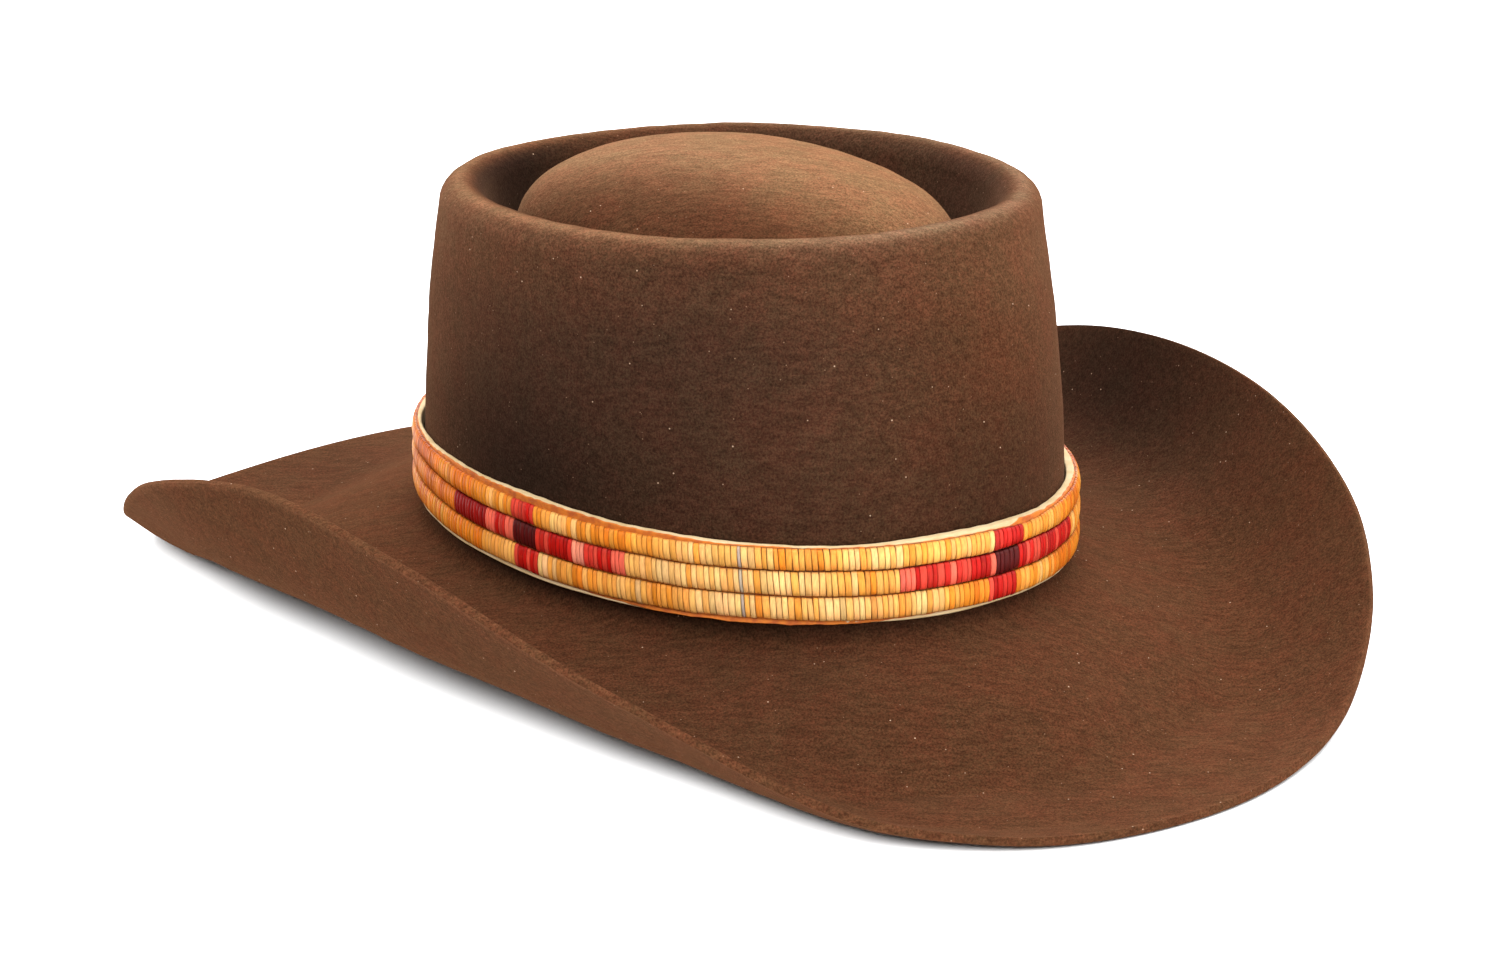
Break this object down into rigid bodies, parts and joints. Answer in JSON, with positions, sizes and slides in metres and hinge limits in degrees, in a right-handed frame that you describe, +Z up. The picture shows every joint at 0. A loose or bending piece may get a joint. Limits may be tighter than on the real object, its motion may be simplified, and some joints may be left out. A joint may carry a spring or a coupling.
{
  "type": "felt hat",
  "caption": "Brown felt hat with an oval crown pushed in to a low dome inside a rounded lip, a wide brim rolled up at both sides and a quilled leather hatband.",
  "frame": {"origin": "centre of the bounding box at the floor, under the crown", "axes": "+Z up, the front of the hat towards -Y, the wearer's right towards -X"},
  "size_m": [0.313, 0.3958, 0.1345],
  "materials": {
    "felt": "brushed brown fur felt, matte with a soft nap",
    "leather": "cream tanned leather, suede face",
    "mat": "rust dyed leather strip, matte",
    "quills": "flattened dyed quills in yellow, cream, red and maroon, satin"
  },
  "bodies": {
    "root": {"felt_body": "felt", "band_backing": "leather", "quill_mat": "mat", "quill_row_bottom": "quills", "quill_row_middle": "quills", "quill_row_top": "quills"}
  },
  "joints": []
}
